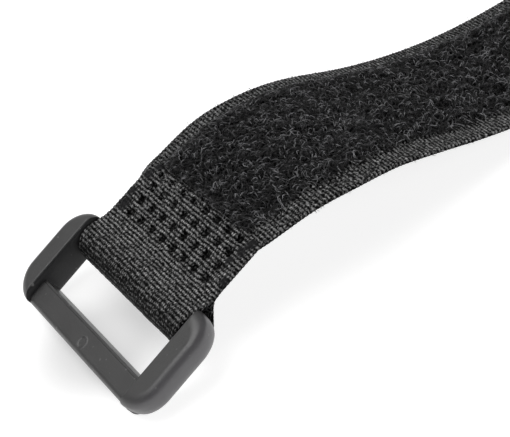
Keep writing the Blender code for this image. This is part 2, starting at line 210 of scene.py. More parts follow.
def front_bar_mesh():
    """The front bar: a rectangle with rounded corners and a fine step along the window, carried across
    the ring. A shallow round dish with a rim in its top is the mark of an ejector pin."""
    low, high = -ROUND_BAR_RADIUS, FRONT_BAR_HEIGHT - ROUND_BAR_RADIUS
    front, back = RING_FRONT, RING_FRONT + FRONT_BAR_WIDTH
    step_in, step_down = BAR_STEP
    corners = [     # along, up, radius, and the angle at which its quarter circle starts
        (front, low, BAR_RIM_ROUND, math.pi),
        (back, low, BAR_BACK_ROUND, 1.5 * math.pi),
        (back, high - step_down, BAR_STEP_ROUND[0], 0.0),
        (back - step_in, high, BAR_STEP_ROUND[1], 0.0),
        (front, high, BAR_TOP_ROUND, 0.5 * math.pi),
    ]
    middle = np.array([(front + back) / 2.0, (low + high) / 2.0])
    rounds = []
    for along, up, radius, start in corners:
        centre = np.array([along, up]) + radius * np.sign(middle - np.array([along, up]))
        turn = np.linspace(start, start + math.pi / 2.0, 9)
        rounds.append(centre + radius * np.stack([np.cos(turn), np.sin(turn)], axis=1))
    top_run = np.linspace(rounds[3][-1], rounds[4][0], 42)[1:-1]
    corner = np.array([[back - step_in, high - step_down]])
    section = np.concatenate([*rounds[:3], corner, rounds[3], top_run, rounds[4]])
    reach = ARM_INSIDE + BAR_SEAT
    across = np.linspace(-reach, reach, 340)
    along = np.broadcast_to(section[:, 0], (len(across), len(section)))
    up = np.broadcast_to(section[:, 1], along.shape).copy()
    mark_along, mark_across, mark_radius = EJECTOR_MARK
    rim_width, rim_height = MARK_RIM
    away = np.hypot(along - mark_along, across[:, None] - mark_across)
    dish = 0.5 - 0.5 * np.tanh((away - mark_radius) / MARK_EDGE)
    rim = np.exp(-(((away - mark_radius) / rim_width) ** 2))
    up -= np.where(up > high - 1e-6, MARK_SINK * dish - rim_height * rim, 0.0)
    local = np.stack([along, np.broadcast_to(across[:, None], along.shape), up], axis=-1)
    made = grid_object("ring_front_bar", ring_to_frame(local))
    cap_ends(made, len(section))
    return made


def cap_ends(obj, ring):
    """Closes the first and the last ring of points of a grid with one face each."""
    bm = bmesh.new()
    bm.from_mesh(obj.data)
    bm.verts.ensure_lookup_table()
    bm.faces.new(bm.verts[:ring])
    bm.faces.new(bm.verts[-ring:])
    bmesh.ops.recalc_face_normals(bm, faces=bm.faces[:])
    bm.to_mesh(obj.data)
    bm.free()


def round_bar_mesh():
    """The bar that the tape turns on: a circle carried across the ring."""
    turn = np.linspace(0.0, 2.0 * math.pi, 48, endpoint=False)
    reach = ARM_INSIDE + BAR_SEAT
    across = np.linspace(-reach, reach, 9)
    along = np.broadcast_to(ROUND_BAR_RADIUS * np.cos(turn), (len(across), len(turn)))
    up = np.broadcast_to(ROUND_BAR_RADIUS * np.sin(turn), along.shape)
    local = np.stack([along, np.broadcast_to(across[:, None], along.shape), up], axis=-1)
    made = grid_object("ring_round_bar", ring_to_frame(local))
    cap_ends(made, len(turn))
    return made


def joined(name, solids):
    """One closed solid from several that run into each other, with crisp edges kept crisp."""
    body = solids[0]
    for other in solids[1:]:
        union = body.modifiers.new(other.name, "BOOLEAN")
        union.operation = "UNION"
        union.solver = "EXACT"
        union.object = other
    graph = bpy.context.evaluated_depsgraph_get()
    mesh = bpy.data.meshes.new_from_object(body.evaluated_get(graph))
    mesh.name = name
    for solid in solids:
        bpy.data.objects.remove(solid, do_unlink=True)
    made = bpy.data.objects.new(name, mesh)
    bpy.context.scene.collection.objects.link(made)
    mesh.shade_smooth()
    mesh.set_sharp_from_angle(angle=RING_CREASE)
    return made


def new_material(name, colour, roughness):
    """A Principled material, and its nodes, links and shader."""
    material = bpy.data.materials.new(name)
    material.use_nodes = True
    nodes, links = material.node_tree.nodes, material.node_tree.links
    shader = nodes["Principled BSDF"]
    shader.inputs["Base Color"].default_value = colour
    shader.inputs["Roughness"].default_value = roughness
    return material, nodes, links, shader


def noise(nodes, links, vector, scale, detail, rough=0.5):
    """A noise texture of that many cells a metre, read at a vector output."""
    made = nodes.new("ShaderNodeTexNoise")
    made.inputs["Scale"].default_value = scale
    made.inputs["Detail"].default_value = detail
    made.inputs["Roughness"].default_value = rough
    links.new(vector, made.inputs["Vector"])
    return made.outputs["Fac"]


def attribute(nodes, label):
    """The value that the mesh holds under a label."""
    made = nodes.new("ShaderNodeAttribute")
    made.attribute_name = label
    return made.outputs["Fac"]


def mix(nodes, links, factor, first, second, blend="MIX"):
    """A mix of two colours, each of them and the factor an output or a plain value."""
    made = nodes.new("ShaderNodeMix")
    made.data_type = "RGBA"
    made.blend_type = blend
    for label, value in (("Factor", factor), ("A", first), ("B", second)):
        if isinstance(value, bpy.types.NodeSocket):
            links.new(value, made.inputs[label])
        else:
            made.inputs[label].default_value = value
    return made.outputs["Result"]


def ramp(nodes, links, value, stops):
    """A colour ramp with the given (position, grey or colour) stops."""
    made = nodes.new("ShaderNodeValToRGB")
    points = made.color_ramp.elements
    while len(points) < len(stops):
        points.new(0.5)
    for point, (position, colour) in zip(points, stops):
        point.position = position
        point.color = colour if hasattr(colour, "__len__") else (colour, colour, colour, 1.0)
    links.new(value, made.inputs["Fac"])
    return made.outputs["Color"]


def bump(nodes, links, height, strength, distance, shader):
    """A bump from a height output, on the shader's normal."""
    made = nodes.new("ShaderNodeBump")
    made.inputs["Strength"].default_value = strength
    made.inputs["Distance"].default_value = distance
    links.new(height, made.inputs["Height"])
    links.new(made.outputs["Normal"], shader.inputs["Normal"])


def nylon_material(name, specular):
    """Satin black nylon: a fine moulded grain, a faint cloudiness, a few pale specks of dust, and
    painted light
    by the attribute outward from 0 to 1: outer walls painted paler as a painted reflection, inner walls
    darker as painted shade."""
    material, nodes, links, shader = new_material(name, NYLON_COLOUR, 0.4)
    shader.inputs["IOR"].default_value = 1.6
    shader.inputs["Specular IOR Level"].default_value = specular
    place = nodes.new("ShaderNodeTexCoord").outputs["Object"]
    cloud = noise(nodes, links, place, scale=260.0, detail=4.0, rough=0.6)
    grain = noise(nodes, links, place, scale=3000.0, detail=3.0, rough=0.65)
    specks = noise(nodes, links, place, scale=1900.0, detail=0.0)
    links.new(ramp(nodes, links, cloud, NYLON_ROUGHNESS), shader.inputs["Roughness"])
    # Painted light: outer walls paler as a painted reflection, inner walls darker as painted shade.
    painted_light = ramp(nodes, links, attribute(nodes, "outward"), NYLON_PAINTED_LIGHT)
    dust = ramp(nodes, links, specks, NYLON_DUST)
    links.new(mix(nodes, links, dust, painted_light, DUST_COLOUR), shader.inputs["Base Color"])
    bump(nodes, links, grain, 0.55, 0.00004, shader)
    return material


ring = joined("buckle_ring", [
    arm_mesh("ring_arm_left", 1.0), arm_mesh("ring_arm_right", -1.0), front_bar_mesh(), round_bar_mesh(),
])
ring.data.materials.append(nylon_material("black_nylon_satin", NYLON_GLOSS))
# A shaded copy of the nylon, with less gloss, goes on the inner walls: painted shade.
ring.data.materials.append(nylon_material("black_nylon_inner_wall", INNER_WALL_SHADED_GLOSS))
inward = [
    face.normal.y * face.center.y < -INNER_WALL_TURN * abs(face.center.y) for face in ring.data.polygons
]
ring.data.polygons.foreach_set("material_index", np.array(inward, dtype=np.int32))
ring_normals = np.array([corner.vector[:] for corner in ring.data.vertex_normals])
ring_sides = np.sign([corner.co.y for corner in ring.data.vertices])
point_values(ring, "outward", 0.5 + 0.5 * ring_normals[:, 1] * ring_sides)
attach(ring, "buckle")
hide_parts("buckle")


# The tape: black nylon yarn, woven on a narrow loom. Its end is turned round the ring's bar and
# welded down by a horn with square pins, which leaves rows of pits and some melted patches.

TAPE_THICKNESS = 0.0007
HALF_TAPE = TAPE_THICKNESS / 2.0
HALF_WIDTH = 0.0125
WEAVE_ROW = 0.00051             # from one weft row to the next
WEAVE_WARP = 0.00018            # from one warp yarn to the next
WEAVE_RELIEF = 0.00016
FACE_SINK = 0.00008             # how far the gaps of the weave lie below the tape's face
YARN_VARIES = (0.8, 1.4)        # how much lower the lowest yarn stands, and how few do
YARN_GRID = (61, 83)
ROW_WANDER = ((0.00008, 0.0041, 0.4), (0.00007, 0.0009, 2.6))    # how far, lump length, phase
WARP_WANDER = (0.00006, 0.0023, 1.9)
SCALLOP = 0.00007               # how far each weft turn stands out at the edge
EDGE_TURN = 0.00035             # width of the rounded edge
EDGE_THIN = 0.75
FACE_RIBS = 0.50                # share of ribs in the weave of the plain face
WELD_SLOPE = math.radians(18.0)
WELD_START = (0.0038, 0.00195)  # along and up from the bar's axis
WELD_LENGTH = 0.0079
CREST = (0.0212, 0.0110)        # along from the bar's axis, and up from the table
LANDING = 0.0690
RISE_HANDLES = (0.55, 0.30)     # curve handles over the level length, at the two ends
FALL_HANDLES = (0.26, 0.57)
RISE_POINTS, FALL_POINTS, TURN_POINTS, JOIN_POINTS = 500, 900, 240, 60
LOOP_RADIUS = ROUND_BAR_RADIUS + 0.0007 + HALF_TAPE
LOOP_ANGLES = (math.radians(-52.0), math.radians(94.0))     # where the tape leaves the bar
LOOP_HANDLES = (0.42, 1.2, 0.40)        # below the bar, its end there over that, and on top
FRONT_START = 0.0030            # from the weld's start to the fold's front, and over what length
PIT_COLUMNS = 0.00115 + 0.00193 * np.arange(4)
PIT_ROWS = 0.00264 * (np.arange(8) - 3.5) - 0.0001
PIT_SIZE = (0.00100, 0.00128)
PIT_DEPTH = 0.00050
PIT_RAGGED = (0.22, 0.0007, 2.0)        # how ragged, lump length, phase
FAR_AWAY = 9.0                  # as far from a pit or a melted patch as matters, in its own radii
MELTED = (                      # from the weld's start, across the tape, radius
    (0.0014, 0.0112, 0.000935), (0.0032, 0.0118, 0.000765), (0.0060, 0.0113, 0.00068),
    (0.0075, 0.0108, 0.000595), (0.0043, -0.0105, 0.00051), (0.0059, -0.0112, 0.00068),
    (0.0073, -0.0116, 0.00068), (0.0021, -0.0122, 0.00051),
)
CUT_EDGE = (0.0006, 0.00030)    # how far the cut edge thins the tape, and how much
FRONT_TURN = WELD_LENGTH + 0.0115       # past this the fold is under the ring and out of sight
TAIL_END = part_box("strap")[1].x
YARN_COLOUR = (0.02, 0.02, 0.021, 1.0)
MELTED_COLOUR = (0.016, 0.016, 0.017, 1.0)
YARN_GLOSS = 0.03
# Painted highlight on the crests and painted shade in the gaps, by relief.
YARN_PAINTED_RELIEF_LIGHT = [(0.16, 0.0012), (0.42, 0.06), (0.9, 0.36)]        # colour by relief
YARN_PATCHES = [(0.34, 0.12), (0.66, 1.9)]
YARN_NET = [(0.42, 0.0), (0.5, 0.20), (0.58, 0.0)]
YARN_NET_SHOWN = [(0.02, 0.02), (0.3, 1.0)]     # by relief
YARN_ROUGHNESS = [(0.2, 0.46), (0.9, 0.36)]     # by how far it is melted

# The lie of the tape past its fold: distances in mm, then how far it lies to the side and above its
# middle line in mm, and how much it twists and widens in percent.
LIE = np.array([
    [-3.5, 0.0, 3.5, 6.0, 9.0, 14.0, 20.0, 27.0, 35.0, 45.0, 57.0, 72.0, 95.0, 130.0, 190.0],
    [0.2, 0.55, 0.75, 1.2, 0.5, -0.4, -1.2, -0.98, -0.68, -0.45, -0.4, -0.5, -0.4, -0.1, 0.0],
    [0.0, 0.0, 0.1, 0.15, 0.2, 0.25, 0.15, 0.06, -0.1, 0.0, 0.05, 0.0, 0.0, 0.0, 0.0],
    [0.0, 0.0, 0.5, 1.2, 1.8, 3.0, 4.1, 2.5, -0.6, -1.6, -1.1, -0.3, 0.0, 0.0, 0.0],
    [-2.0, -4.0, -4.8, -2.6, 0.0, 3.0, 3.4, 2.8, 3.2, 3.0, 3.0, 2.6, 1.5, 0.2, 0.0],
])
LIE_AT, LIE_SIDEWAYS, LIE_LIFT = LIE[:3] / 1000.0
LIE_TWIST, LIE_WIDTH = LIE[3:] / 100.0
YARNS = 1.0 - YARN_VARIES[0] * np.random.default_rng(7).uniform(0.0, 1.0, YARN_GRID) ** YARN_VARIES[1]


def heading(angle):
    """The unit vector at that angle in side view."""
    return np.array([math.cos(angle), math.sin(angle)])


def bezier(p0, p1, p2, p3, count):
    """Points on a cubic Bezier curve, both ends included."""
    t = np.linspace(0.0, 1.0, count)[:, None]
    s = 1.0 - t
    return s**3 * p0 + 3 * s**2 * t * p1 + 3 * s * t**2 * p2 + t**3 * p3


def lengths_along(points):
    """Distance along a curve at each of its points."""
    return np.concatenate([[0.0], np.cumsum(np.linalg.norm(np.diff(points, axis=0), axis=1))])


def left_normals(points):
    """Unit normals of a curve, on the left of its direction of travel."""
    along = np.gradient(points, axis=0)
    along /= np.linalg.norm(along, axis=1)[:, None]
    return np.stack([-along[:, 1], along[:, 0]], axis=1)


def tape_middle():
    """Middle of the tape in side view, from the cut edge of the turned-back end, round the bar, over
    the arch and flat to the tail; with it, where along it the fold ends."""
    bar = RING_AXIS[[0, 2]]
    start = bar + np.array(WELD_START)
    ahead, level = heading(WELD_SLOPE), heading(0.0)
    crest = np.array([bar[0] + CREST[0], CREST[1]])
    landing = np.array([bar[0] + LANDING, HALF_TAPE])
    rise, fall = crest[0] - start[0], landing[0] - crest[0]
    leave, top_out = RISE_HANDLES[0] * rise * ahead, RISE_HANDLES[1] * rise * level
    top_in, settle = FALL_HANDLES[0] * fall * level, FALL_HANDLES[1] * fall * level
    up = bezier(start, start + leave, crest - top_out, crest, RISE_POINTS)
    down = bezier(crest, crest + top_in, landing - settle, landing, FALL_POINTS)
    run = np.concatenate([up, down[1:], np.array([[TAIL_END, HALF_TAPE]])])

    on_top = run[:RISE_POINTS] + TAPE_THICKNESS * left_normals(run[:RISE_POINTS])
    on_top = on_top[lengths_along(run[:RISE_POINTS]) <= WELD_LENGTH]
    low_angle, high_angle = LOOP_ANGLES
    low, high = bar + LOOP_RADIUS * heading(low_angle), bar + LOOP_RADIUS * heading(high_angle)
    reach = LOOP_HANDLES[0] * (start[0] - low[0])
    low_handle = low - LOOP_HANDLES[1] * reach * heading(low_angle - math.pi / 2.0)
    under = bezier(start, start - reach * ahead, low_handle, low, JOIN_POINTS)
    turn = np.linspace(low_angle, high_angle - 2.0 * math.pi, TURN_POINTS)
    around = bar + LOOP_RADIUS * np.stack([np.cos(turn), np.sin(turn)], axis=1)
    reach = LOOP_HANDLES[2] * (on_top[0][0] - high[0])
    high_handle = high + reach * heading(high_angle + 1.5 * math.pi)
    over = bezier(high, high_handle, on_top[0] - reach * ahead, on_top[0], JOIN_POINTS)
    loop = np.concatenate([under, around[1:], over[1:-1]])
    whole = np.concatenate([on_top[::-1], loop[::-1], run[1:]])
    fold_end = lengths_along(whole)[len(on_top) + len(loop) - 1]
    return whole, fold_end


middle_line, FOLD_END = tape_middle()
middle_at = lengths_along(middle_line)
TAPE_LENGTH = middle_at[-1]
TANGENT_REACH = 0.00012         # how far each way the tape's direction is read


def lie(at, values):
    """One column of the tape's lie at any distance along it: a cubic between the measured places,
    whose slope at each place is taken from its two neighbours."""
    past = np.clip(at - FOLD_END, LIE_AT[0], LIE_AT[-1] - 1e-9)
    index = np.clip(np.searchsorted(LIE_AT, past, side="right") - 1, 0, len(LIE_AT) - 2)
    gap = LIE_AT[index + 1] - LIE_AT[index]
    slope = np.gradient(values, LIE_AT)
    t = (past - LIE_AT[index]) / gap
    return (
        (2 * t**3 - 3 * t**2 + 1) * values[index] + (t**3 - 2 * t**2 + t) * gap * slope[index]
        + (3 * t**2 - 2 * t**3) * values[index + 1] + (t**3 - t**2) * gap * slope[index + 1]
    )


def on_tape(at, across, height):
    """A point of the tape: at a distance along its middle line, at a place across it, and at a height
    above the middle on the plain face's side (the pile's side is negative). The tape lies a little
    sideways of straight, twists a little along its run, and is drawn in a little by the weld."""

    def middle(where):
        return np.stack([np.interp(where, middle_at, middle_line[:, k]) for k in (0, 1)], axis=-1)

    along = middle(at + TANGENT_REACH) - middle(at - TANGENT_REACH)
    along /= np.linalg.norm(along, axis=-1, keepdims=True)
    place = middle(at) + np.stack([along[..., 1], -along[..., 0]], axis=-1) * height[..., None]
    sideways = across * (1.0 + lie(at, LIE_WIDTH)) + lie(at, LIE_SIDEWAYS)
    up = place[..., 1] + across * lie(at, LIE_TWIST) + lie(at, LIE_LIFT)
    return np.stack([place[..., 0], sideways, up], axis=-1)


def ripple(at, across, cell, phase):
    """A soft, smooth unevenness between -1 and 1 with lumps of about one cell, from crossed sines."""
    a, b = at / cell * 2.0 * math.pi, across / cell * 2.0 * math.pi
    return (
        np.sin(0.61 * a + 0.83 * b + phase)
        + np.sin(-0.97 * a + 0.52 * b + 2.3 * phase + 1.1 * np.sin(0.37 * b))
        + np.sin(0.29 * a - 1.13 * b + 3.1 * phase + 1.3 * np.sin(0.41 * a))
    ) / 3.0


def weave(at, across, rib_share):
    """Relief of the weave, 0 to 1: a cosine's fourth power along gives the ribs that the weft makes,
    and the product with a cosine across gives a chequerboard of warp floats. Each yarn is a little
    higher or lower, and rows and warps wander by a soft ripple."""
    wander = sum(far * ripple(at, across, cell, phase) for far, cell, phase in ROW_WANDER)
    row = (at + wander) / WEAVE_ROW
    warp = (across + WARP_WANDER[0] * ripple(at, across, *WARP_WANDER[1:])) / WEAVE_WARP
    board = np.cos(math.pi * row) * np.cos(math.pi * warp)
    yarn = YARNS[np.round(row).astype(int) % YARN_GRID[0], np.round(warp).astype(int) % YARN_GRID[1]]
    rib = np.abs(np.cos(math.pi * row)) ** 4
    float_relief = np.clip(board, 0.0, 1.0) ** 0.6
    ribs = rib_share * (0.45 + 0.55 * yarn) * rib
    return ribs + (1.0 - rib_share) * yarn * float_relief + 0.12 * np.clip(-board, 0.0, 1.0)


def melt(at, across):
    """How far the tape is melted smooth, 0 to 0.9: soft round patches beside the weld."""
    from_start = WELD_LENGTH - at
    share = np.zeros(np.broadcast(at, across).shape)
    for along, y, radius in MELTED:
        away = np.minimum(np.hypot(from_start - along, across - y) / radius, FAR_AWAY)
        share = np.maximum(share, 0.9 / (1.0 + np.exp(6.0 * (away - 1.0))))
    return share


def pits(at, across):
    """How deep the pins of the horn have gone, 0 to 1: a rounded square round each crossing of the
    pit columns and rows, with a ragged edge."""
    from_start = WELD_LENGTH - at
    along = np.min(np.abs(from_start[..., None] - PIT_COLUMNS), axis=-1) / (PIT_SIZE[0] / 2.0)
    aside = np.min(np.abs(across[..., None] - PIT_ROWS), axis=-1) / (PIT_SIZE[1] / 2.0)
    away = (along**4 + aside**4) ** 0.25 + PIT_RAGGED[0] * ripple(at, across, *PIT_RAGGED[1:])
    return 1.0 / (1.0 + np.exp(8.0 * (np.minimum(away, FAR_AWAY) - 0.95)))


def edge_share(across):
    """0 over the face of the tape and 1 at its edge, where the face turns round."""
    return np.clip((np.abs(across) - (HALF_WIDTH - EDGE_TURN)) / EDGE_TURN, 0.0, 1.0)


def thinned(height, across):
    """A height that falls as a quarter ellipse over the tape's rounded edge."""
    return height * np.sqrt(1.0 - EDGE_THIN * edge_share(across) ** 2)


def scalloped(at, across):
    """The place across the tape, moved outwards at the edge by each weft turn."""
    turn = np.abs(np.cos(math.pi * at / WEAVE_ROW))
    return across + SCALLOP * turn * np.sign(across) * edge_share(across)


def plain_face(at, across):
    """Height of the plain face over the tape's middle, its relief and how far it is melted, both from
    0 to 1. The weave is flatter on the fold's front, where it melted and in the pits."""
    melted, pit = melt(at, across), pits(at, across)
    front = np.clip((at - WELD_LENGTH - FRONT_START) / FRONT_START, 0.0, 1.0)
    relief = weave(at, across, FACE_RIBS * (1.0 - 0.3 * front))
    relief = relief * (1.0 - 0.5 * front) * (1.0 - 0.6 * melted) * (1.0 - 0.85 * pit)
    lumps = 0.00016 * melted * (0.6 + ripple(at, across, 0.0011, 0.7))
    height = HALF_TAPE - FACE_SINK + WEAVE_RELIEF * relief + lumps - PIT_DEPTH * pit
    height += 0.00003 * ripple(at, across, 0.006, 3.0)
    height -= CUT_EDGE[1] * np.clip(1.0 - at / CUT_EDGE[0], 0.0, 1.0) ** 2
    return thinned(height, across), relief, melted


def bare_back(at, across):
    """Depth and relief of the back where nothing shows of it: flat, with rounded edges."""
    return thinned(HALF_TAPE, across), np.full_like(at, 0.1)


def tape_mesh(name, stations, face_across, back_across, back_side):
    """A stretch of tape as a closed ring of points at each station: the plain face, one edge, the
    back and the other edge. back_side gives the back's depth below the middle, and its relief."""
    at, face = np.meshgrid(stations, face_across, indexing="ij")
    face_height, relief, melted = plain_face(at, face)
    back_at, back = np.meshgrid(stations, back_across, indexing="ij")
    back_down, back_relief = back_side(back_at, back)
    points = np.concatenate([
        on_tape(at, scalloped(at, face), face_height),
        on_tape(back_at, scalloped(back_at, back), -back_down),
    ], axis=1)
    made = grid_object(name, points)
    point_values(made, "relief", np.concatenate([relief, back_relief], axis=1))
    point_values(made, "melted", np.concatenate([melted, np.zeros_like(back_at)], axis=1))
    cap_ends(made, points.shape[1])
    made.data.materials.append(webbing)
    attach(made, "strap")
    return made


def webbing_material():
    """Black multifilament yarn: crests painted pale as painted highlights and gaps painted dark as
    painted shade, broken up by a patchy noise and a net of fine threads; melted nylon is smooth, and
    fine filaments run along each float."""
    material, nodes, links, shader = new_material("woven_nylon_yarn", YARN_COLOUR, 0.5)
    shader.inputs["Specular IOR Level"].default_value = YARN_GLOSS
    place = nodes.new("ShaderNodeTexCoord").outputs["Object"]
    relief, melted = attribute(nodes, "relief"), attribute(nodes, "melted")
    patches = noise(nodes, links, place, scale=3400.0, detail=2.0, rough=0.7)
    threads = noise(nodes, links, place, scale=2300.0, detail=1.0, rough=0.4)
    # Painted highlight on crests and painted shade in gaps, from the relief.
    crest = ramp(nodes, links, relief, YARN_PAINTED_RELIEF_LIGHT)
    yarn = mix(nodes, links, 1.0, crest, ramp(nodes, links, patches, YARN_PATCHES), "MULTIPLY")
    net = ramp(nodes, links, threads, YARN_NET)
    netted = mix(nodes, links, ramp(nodes, links, relief, YARN_NET_SHOWN), yarn, net, "ADD")
    links.new(mix(nodes, links, melted, netted, MELTED_COLOUR), shader.inputs["Base Color"])
    links.new(ramp(nodes, links, melted, YARN_ROUGHNESS), shader.inputs["Roughness"])
    turned = nodes.new("ShaderNodeMapping")
    turned.inputs["Scale"].default_value = (1.0, 5.0, 1.0)
    links.new(place, turned.inputs["Vector"])
    filaments = noise(nodes, links, turned.outputs["Vector"], scale=3200.0, detail=2.0, rough=0.6)
    bump(nodes, links, filaments, 0.35, 0.00004, shader)
    return material


webbing = webbing_material()
fold_stations = np.concatenate([
    np.arange(0.0, FRONT_TURN, 0.0001), np.arange(FRONT_TURN, FOLD_END + 0.0004, 0.0002),
])
face_columns = np.linspace(HALF_WIDTH, -HALF_WIDTH, 401)
back_columns = np.linspace(-HALF_WIDTH, HALF_WIDTH, 14)
folded_end = tape_mesh("folded_end", fold_stations, face_columns, back_columns, bare_back)


# The long run of the same tape: woven selvages show beside a band of brushed loop pile, which is
# rooted in the tape from the cut edge of the turned-back end to the hook tab.

PILE_HALF = 0.0096
PILE_START = FOLD_END + WELD_LENGTH - 0.0002
TAB_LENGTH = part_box("hook_tab")[1].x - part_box("hook_tab")[0].x
PILE_END = TAPE_LENGTH - TAB_LENGTH - 0.0012
PILE_BASE = 0.00050             # height of the matted roots
PILE_BASE_LUMP = (0.30, 0.004, 1.3)     # share of that height, lump length, phase
PILE_BORDER = (0.0005, 0.0004, 0.0016, 0.9)     # how far in, how ragged, lump length, phase
PILE_BORDER_SOFT = 0.00028
PILE_END_RISE = 0.0012          # length over which the band rises at its two ends
SELVAGE_RIBS, SELVAGE_RELIEF = 0.62, 0.85
NEAR_RUN_END = FOLD_END + 0.062
NEAR_STEPS = (0.00017, 0.00006)         # along the tape, and across it on the selvages
FAR_STEPS = (0.000255, 0.00009)
RUN_OVERLAP = 0.00005


def pile_side(at, across):
    """Depth of the tape's pile side below its middle line, and its relief: woven selvages, and between
    them the matted roots of the pile, which rise in soft lumps and fall away at the band's ends."""
    relief = SELVAGE_RELIEF * weave(at, across, SELVAGE_RIBS)
    selvage = thinned(HALF_TAPE - FACE_SINK + WEAVE_RELIEF * relief, across)
    border = PILE_HALF - PILE_BORDER[0] + PILE_BORDER[1] * ripple(at, across, *PILE_BORDER[2:])
    inside = 1.0 / (1.0 + np.exp((np.abs(across) - border) / PILE_BORDER_SOFT))
    inside = inside * np.clip((at - PILE_START) / PILE_END_RISE, 0.0, 1.0)
    inside = inside * np.clip((PILE_END - at) / PILE_END_RISE, 0.0, 1.0)
    lump, cell, phase = PILE_BASE_LUMP
    mat = HALF_TAPE + PILE_BASE * (1.0 + lump * ripple(at, across, cell, phase))
    # Zero relief over the pile's roots paints them darkest: painted shade between the fibres.
    return selvage + inside * (mat - selvage), relief * (1.0 - inside)


def run_of_tape(name, start, end, steps):
    """A stretch of the long run, with fine columns on the selvages and coarser ones elsewhere."""
    step, fine = steps
    edge = np.arange(PILE_HALF - 0.0016, HALF_WIDTH, fine)
    middle = np.linspace(-PILE_HALF + 0.0018, PILE_HALF - 0.0018, 22)
    back = np.concatenate([[-HALF_WIDTH], -edge[::-1], middle, edge, [HALF_WIDTH]])
    face = np.linspace(HALF_WIDTH, -HALF_WIDTH, 48)
    return tape_mesh(name, np.arange(start, end + step / 2.0, step), face, back, pile_side)


run_of_tape("tape_near_run", FOLD_END, NEAR_RUN_END, NEAR_STEPS)
run_of_tape("tape_far_run", NEAR_RUN_END - RUN_OVERLAP, TAPE_LENGTH, FAR_STEPS)
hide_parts("strap")


# The brushed loop pile: crimped filaments, each rooted at both ends, that lie over one another in
# every direction. They are tubes with three sides that close in a point.

PILE_PIECES = 4
FIBRES_A_PIECE = 8200
FIBRE_POINTS = 5
FIBRE_RADIUS = 0.000042
FIBRE_THICKNESS = (0.75, 1.3)   # thinnest and thickest, over that radius
FIBRE_LENGTH = (0.0008, 0.0020)
FIBRE_TURN = (0.3, 3.4)         # how far its plan turns from root to root, in radians
FIBRE_RISE = (0.00030, 0.00080)
FIBRE_CRIMP = (0.00006, 9.0)    # height of the crimp, and its turns along a fibre in radians
FIBRE_COLOUR = (0.03, 0.03, 0.031, 1.0)
FIBRE_TONE = [                  # few fibres are pale
    (0.0, (0.002, 0.002, 0.0021, 1.0)), (0.6, (0.012, 0.012, 0.0125, 1.0)),
    (1.0, (0.30, 0.30, 0.31, 1.0)),
]
PILE_LUMP = (0.00022, 0.004, 1.3)       # how far the matted fibres rise and fall, lump length, phase
PILE_EDGE_FALL = 0.7            # how much lower the pile is along its sides
rng = np.random.default_rng(20)


def tubes(paths, radii):
    """Three-sided tubes along many paths at once: three points round each inner path point, on a
    circle square to the path, and one point at each end."""
    count, stations = paths.shape[:2]
    along = np.gradient(paths, axis=1)
    along /= np.linalg.norm(along, axis=2, keepdims=True) + 1e-12
    lean = np.cross(along, np.array([0.31, 0.22, 0.92]))
    lean /= np.linalg.norm(lean, axis=2, keepdims=True) + 1e-12
    other = np.cross(along, lean)
    turn = (np.arange(3) * 2.0 * math.pi / 3.0)[:, None]
    outwards = lean[:, 1:-1, None] * np.cos(turn) + other[:, 1:-1, None] * np.sin(turn)
    rings = paths[:, 1:-1, None] + radii[:, None, None, None] * outwards
    inner = stations - 2
    points = np.concatenate([paths[:, :1], rings.reshape(count, inner * 3, 3), paths[:, -1:]], axis=1)
    last = 3 * (inner - 1)
    faces = []
    for here, after in ((0, 1), (1, 2), (2, 0)):
        faces.append((0, 1 + after, 1 + here))
        for first in range(1, last, 3):
            a, b = first + here, first + after
            faces += [(a, b, b + 3), (a, b + 3, a + 3)]
        faces.append((1 + last + here, 1 + last + after, 4 + last))
    size = points.shape[1]
    every = np.array(faces)[None] + (np.arange(count) * size)[:, None, None]
    return points.reshape(-1, 3), every.reshape(-1, 3), size


def fibre_paths(at, across, draw):
    """Curls on the tape: from a root each fibre heads off at a random angle and turns steadily, so
    that its plan is an arc, while its height rises and falls as half a sine with a crimp on it."""
    count = len(at)
    t = np.linspace(0.0, 1.0, FIBRE_POINTS)[None, :]
    length = draw.uniform(*FIBRE_LENGTH, count)[:, None]
    first = draw.uniform(0.0, 2.0 * math.pi, count)[:, None]
    turning = (draw.choice([-1.0, 1.0], count) * draw.uniform(*FIBRE_TURN, count))[:, None]
    angle = first + turning * t
    step = length / (FIBRE_POINTS - 1)
    run_along = np.cumsum(np.cos(angle) * step, axis=1) - np.cos(angle[:, :1]) * step
    run_across = np.cumsum(np.sin(angle) * step, axis=1) - np.sin(angle[:, :1]) * step
    run_along -= run_along.mean(axis=1, keepdims=True)
    run_across -= run_across.mean(axis=1, keepdims=True)
    tall = draw.uniform(*FIBRE_RISE, count)[:, None]
    crimp_height, crimp_turns = FIBRE_CRIMP
    crimp = crimp_height * np.sin(draw.uniform(0.0, 6.3, count)[:, None] + crimp_turns * t)
    height = tall * np.sin(math.pi * t) ** 0.8 + crimp
    return at[:, None] + run_along, across[:, None] + run_across, height


def fibre_material():
    """Single nylon filaments: near black, each a little lighter or darker, with a soft gloss."""
    material, nodes, links, shader = new_material("loop_pile_fibre", FIBRE_COLOUR, 0.42)
    shader.inputs["Specular IOR Level"].default_value = 0.5
    links.new(ramp(nodes, links, attribute(nodes, "shade"), FIBRE_TONE), shader.inputs["Base Color"])
    return material


def fibre_piece(name, paths, radii, shades):
    """Tubes along the paths as one mesh, with one shade a fibre, riding on the strap."""
    points, faces, size = tubes(paths, radii)
    made = mesh_object(name, points, faces)
    point_values(made, "shade", np.repeat(shades, size))
    made.data.materials.append(fibre_look)
    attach(made, "strap")


